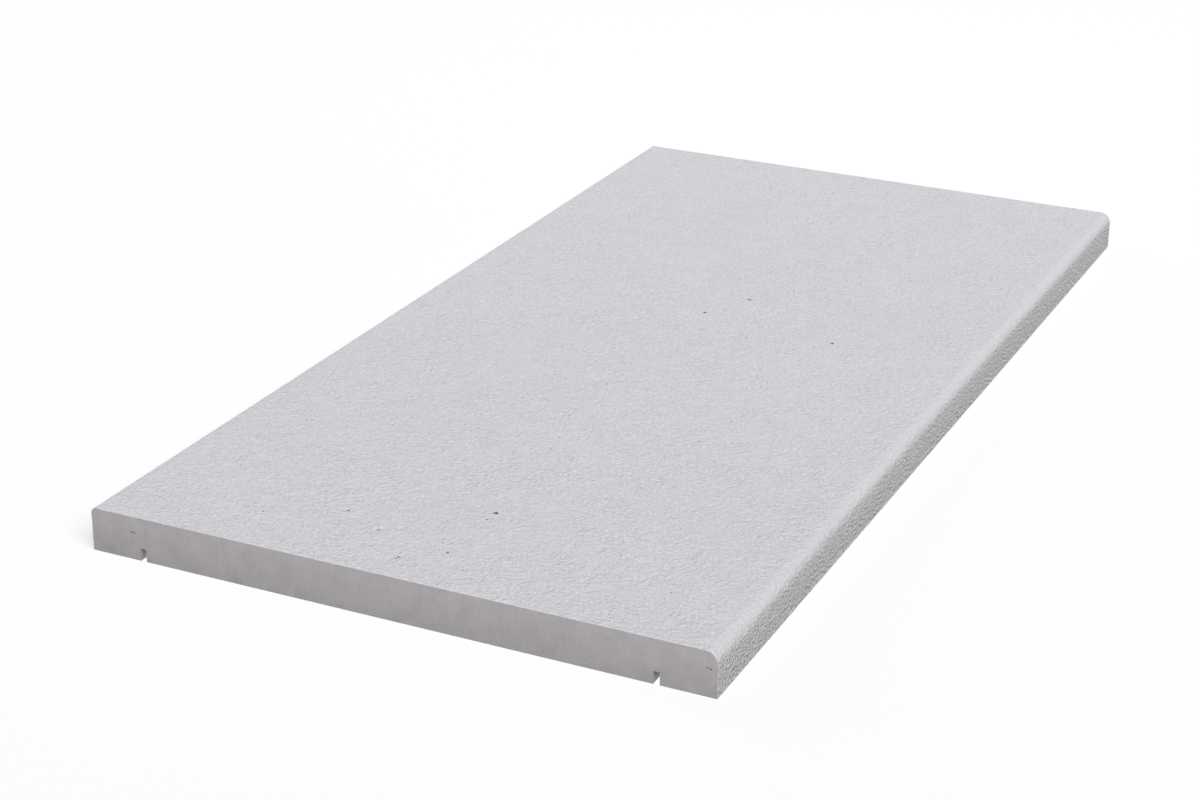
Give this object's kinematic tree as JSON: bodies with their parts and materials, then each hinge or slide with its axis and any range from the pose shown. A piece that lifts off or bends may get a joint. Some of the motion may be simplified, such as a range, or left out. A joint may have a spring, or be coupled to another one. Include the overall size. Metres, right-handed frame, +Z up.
{
  "type": "wall coping stone",
  "caption": "Flat rectangular wall coping stone of pale cast concrete with a finely grained top, rounded long top edges, plain ends and square drip grooves along the underside.",
  "frame": {"origin": "middle of the underside, on the wall's centre line", "axes": "+X across the wall towards the front edge, which has the larger rounding; +Y along the wall; +Z up out of the weathered top"},
  "size_m": [0.5, 1, 0.035],
  "materials": {
    "cast_stone": "matte"
  },
  "bodies": {
    "root": {"coping_stone": "cast_stone"}
  },
  "joints": []
}
